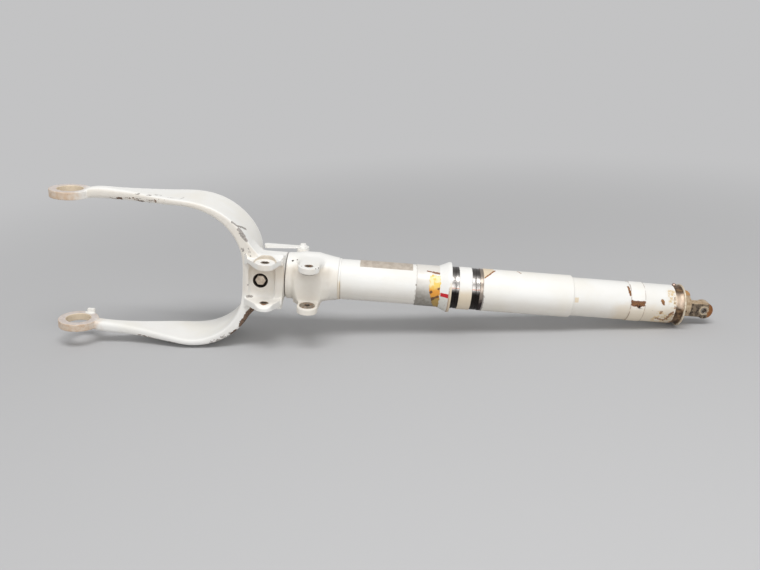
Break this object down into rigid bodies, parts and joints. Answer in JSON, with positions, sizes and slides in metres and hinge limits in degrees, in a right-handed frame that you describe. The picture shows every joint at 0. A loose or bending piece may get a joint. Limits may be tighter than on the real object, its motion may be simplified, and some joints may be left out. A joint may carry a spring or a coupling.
{
  "type": "nose landing gear strut",
  "caption": "Collapsed air-oil nose gear strut with a wide wheel fork, torque link lugs, bearing journals and a top tang.",
  "frame": {"origin": "middle of the two axle bores, on the strut's axis", "axes": "+X along the strut from the axle to the top tang, +Z along the axle towards the upper leg, -Y the side of the torque link lugs"},
  "size_m": [0.948, 0.1084, 0.2174],
  "materials": {
    "white_paint": "gloss",
    "cone_paint": "gloss",
    "ground_steel": "polished",
    "bush_steel": "satin",
    "fastener_steel": "satin",
    "chrome": "polished",
    "bare_steel": "satin",
    "aluminium": "satin",
    "bronze": "satin",
    "seal_rubber": "matt",
    "dark_bronze": "satin",
    "rusty_steel": "satin",
    "brass": "satin",
    "black_plastic": "matt"
  },
  "bodies": {
    "cylinder_group": {"gland": "bronze", "gland_seals": "seal_rubber", "gland_static_seal": "seal_rubber", "gland_wiper": "seal_rubber", "gland_snap_ring": "bare_steel", "cylinder": "white_paint", "lug_collar": "white_paint", "collar_lug_bushes": "bush_steel", "collar_seam_ring": "bush_steel", "stop_arm": "white_paint", "stop_arm_bolt": "fastener_steel", "data_plate": "aluminium", "thrust_sleeve": "cone_paint", "lower_journal": "ground_steel", "bearing_ring": "white_paint", "upper_journal": "ground_steel", "journal_spacer": "ground_steel", "journal_lock_ring": "ground_steel", "upper_sleeve": "white_paint", "clamp_band": "white_paint", "end_cap": "dark_bronze", "lip_washer": "dark_bronze", "cap_lock_screw": "fastener_steel", "top_plug": "rusty_steel", "top_plug_seal": "seal_rubber", "tang_bush": "bush_steel", "filler_valve": "brass", "valve_cap": "black_plastic", "orifice_tube": "bare_steel", "orifice_plate": "bare_steel"},
    "head_group": {"head_bearing": "bronze"},
    "fork_group": {"fork_hub": "white_paint", "fork_lugs": "white_paint", "fork_legs": "white_paint", "axle_end_upper": "white_paint", "axle_end_lower": "white_paint", "fork_lug_bushes": "bush_steel", "fork_bolt": "fastener_steel", "fork_bolt_washers": "fastener_steel", "fork_bolt_nut": "fastener_steel", "piston_tube": "chrome", "piston_plug": "aluminium", "piston_plug_seal": "seal_rubber", "metering_pin": "bare_steel", "head_snap_ring": "bare_steel"}
  },
  "joints": [
    {"name": "piston_slide", "type": "slide", "parent": "cylinder_group", "child": "head_group", "axis": [-1, 0, 0], "range_m": [0, 0.165]},
    {"name": "fork_swivel", "type": "hinge", "parent": "head_group", "child": "fork_group", "pos_m": [0.3, 0, 0], "axis": [1, 0, 0], "range_deg": [-40, 40]}
  ]
}
